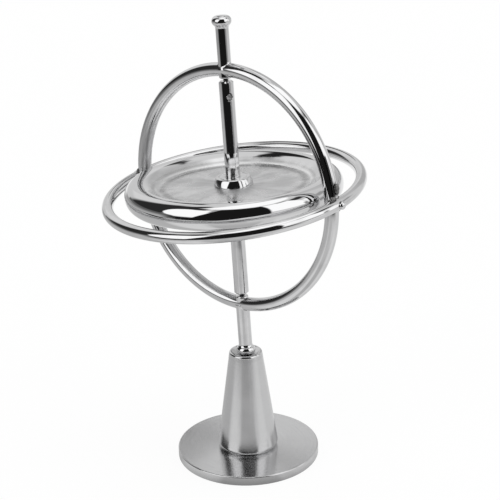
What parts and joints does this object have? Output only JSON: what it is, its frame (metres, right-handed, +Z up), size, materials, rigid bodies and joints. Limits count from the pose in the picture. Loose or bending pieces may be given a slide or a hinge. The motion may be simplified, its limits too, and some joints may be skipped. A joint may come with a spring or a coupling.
{
  "type": "gyroscope on stand",
  "caption": "Toy gyroscope: a heavy polished rotor on an axle inside an upright ring and a level outer ring, balanced by its ball foot in the dish of a conical pedestal on a round base.",
  "frame": {"origin": "centre of the underside of the base, on the stand's axis", "axes": "+Z up along the stand's axis; the string hole's seen mouth faces -Y; the gyroscope leans a little towards -X and +Y"},
  "size_m": [0.0647, 0.065, 0.1132],
  "materials": {
    "brushed_base": "satin, turned and brushed in circles",
    "brushed_cone": "satin, turned and brushed around",
    "polished_seat": "bright polish",
    "polished_fittings": "bright polish",
    "bearing_steel": "turned",
    "polished_ring_wire": "bright polish",
    "dark_braze": "dull, rough bead",
    "polished_rotor": "bright polish with faint turning marks",
    "polished_axle": "satin polish"
  },
  "bodies": {
    "stand": {"base_disc": "brushed_base", "pedestal_cone": "brushed_cone"},
    "seat": {"seat_cup": "polished_seat"},
    "cage": {"foot_ball": "polished_fittings", "lower_post": "polished_fittings", "lower_bearing": "bearing_steel", "vertical_ring": "polished_ring_wire", "horizontal_ring": "polished_ring_wire", "ring_pins": "polished_fittings", "ring_braze": "dark_braze", "post_braze": "dark_braze", "upper_bearing": "bearing_steel", "upper_post": "polished_fittings", "top_knob": "polished_fittings"},
    "rotor": {"rotor_disc": "polished_rotor", "upper_collar": "polished_rotor", "lower_collar": "polished_rotor", "axle": "polished_axle", "upper_pivot_pin": "bearing_steel", "lower_pivot_pin": "bearing_steel"}
  },
  "joints": [
    {"name": "precession", "type": "hinge", "parent": "stand", "child": "seat", "pos_m": [0, 0, 0.03105], "axis": [0, 0, 1], "continuous": true},
    {"name": "lean", "type": "hinge", "parent": "seat", "child": "cage", "pos_m": [0, 0, 0.03105], "axis": [-0.809, -0.5878, 0], "range_deg": [-74.2, 65.8]},
    {"name": "rotor_spin", "type": "hinge", "parent": "cage", "child": "rotor", "pos_m": [-0.00172, 0.00236, 0.07084], "axis": [-0.043, 0.0593, 0.9973], "continuous": true}
  ]
}
